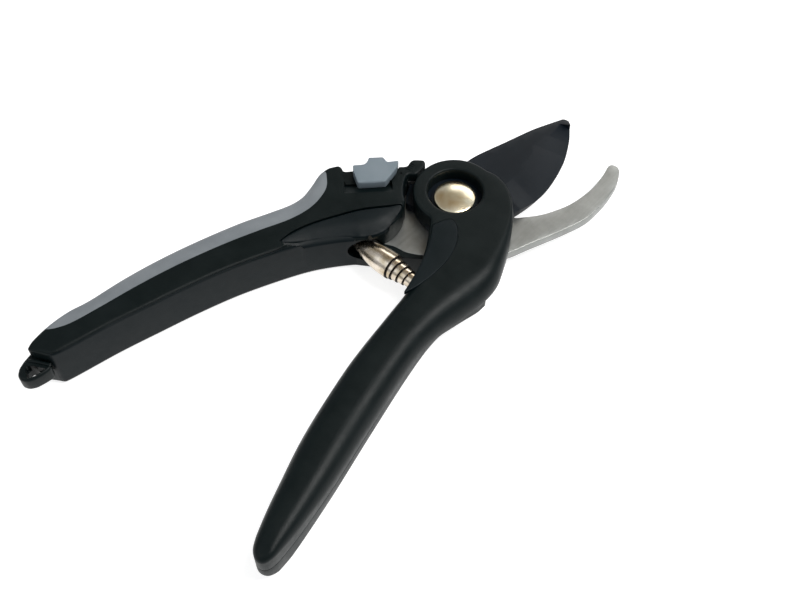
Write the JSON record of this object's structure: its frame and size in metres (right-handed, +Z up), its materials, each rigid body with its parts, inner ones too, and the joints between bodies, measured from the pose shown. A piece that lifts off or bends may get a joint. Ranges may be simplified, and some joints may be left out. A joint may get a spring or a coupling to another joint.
{
  "type": "pruning shears",
  "caption": "Bypass pruning shears with a coated cutting blade, a hook blade, two moulded handles, a volute spring and a sliding thumb lock.",
  "frame": {"origin": "below the middle of the whole part, on the surface that its back rests on", "axes": "+X from the handles towards the blades, +Y towards the handle with the lock, +Z up from the resting face"},
  "size_m": [0.1976, 0.1051, 0.0197],
  "materials": {
    "handle_nylon": "satin",
    "soft_black": "satin",
    "grip_grey": "matte",
    "slider_grey": "satin",
    "coated_steel": "satin",
    "bright_steel": "brushed",
    "zinc_steel": "satin",
    "nickel": "polished"
  },
  "bodies": {
    "upper_handle": {"upper_back_shell": "handle_nylon", "upper_front_shell": "handle_nylon", "grip_insert": "grip_grey", "inner_liner": "soft_black", "front_pad": "soft_black", "lanyard_end": "handle_nylon", "hook_blade": "bright_steel", "hook_tang_pins": "zinc_steel", "upper_screws": "zinc_steel", "pivot_bolt": "nickel", "pivot_bush": "nickel", "head_washer": "coated_steel", "nut_washer": "zinc_steel", "pivot_nut": "zinc_steel", "upper_spring_seat": "zinc_steel", "volute_spring": "nickel"},
    "lower_handle": {"lower_front_shell": "handle_nylon", "lower_back_shell": "handle_nylon", "thumb_pad": "soft_black", "cutting_blade": "coated_steel", "blade_tang_pins": "zinc_steel", "lower_screws": "zinc_steel", "lower_spring_seat": "zinc_steel"},
    "lock": {"lock_slider": "slider_grey", "lock_bar": "zinc_steel", "lock_pin": "zinc_steel"}
  },
  "joints": [
    {"name": "squeeze", "type": "hinge", "parent": "upper_handle", "child": "lower_handle", "pos_m": [0.04345, -0.006, 0.0105], "axis": [0, 0, -1], "range_deg": [0, 28], "stiffness_Nm_per_rad": 1.2, "springref_deg": -22.92, "deforming": ["volute_spring"]},
    {"name": "lock_slide", "type": "slide", "parent": "upper_handle", "child": "lock", "axis": [-0.7071, 0.7071, 0], "range_m": [0, 0.0032]}
  ]
}
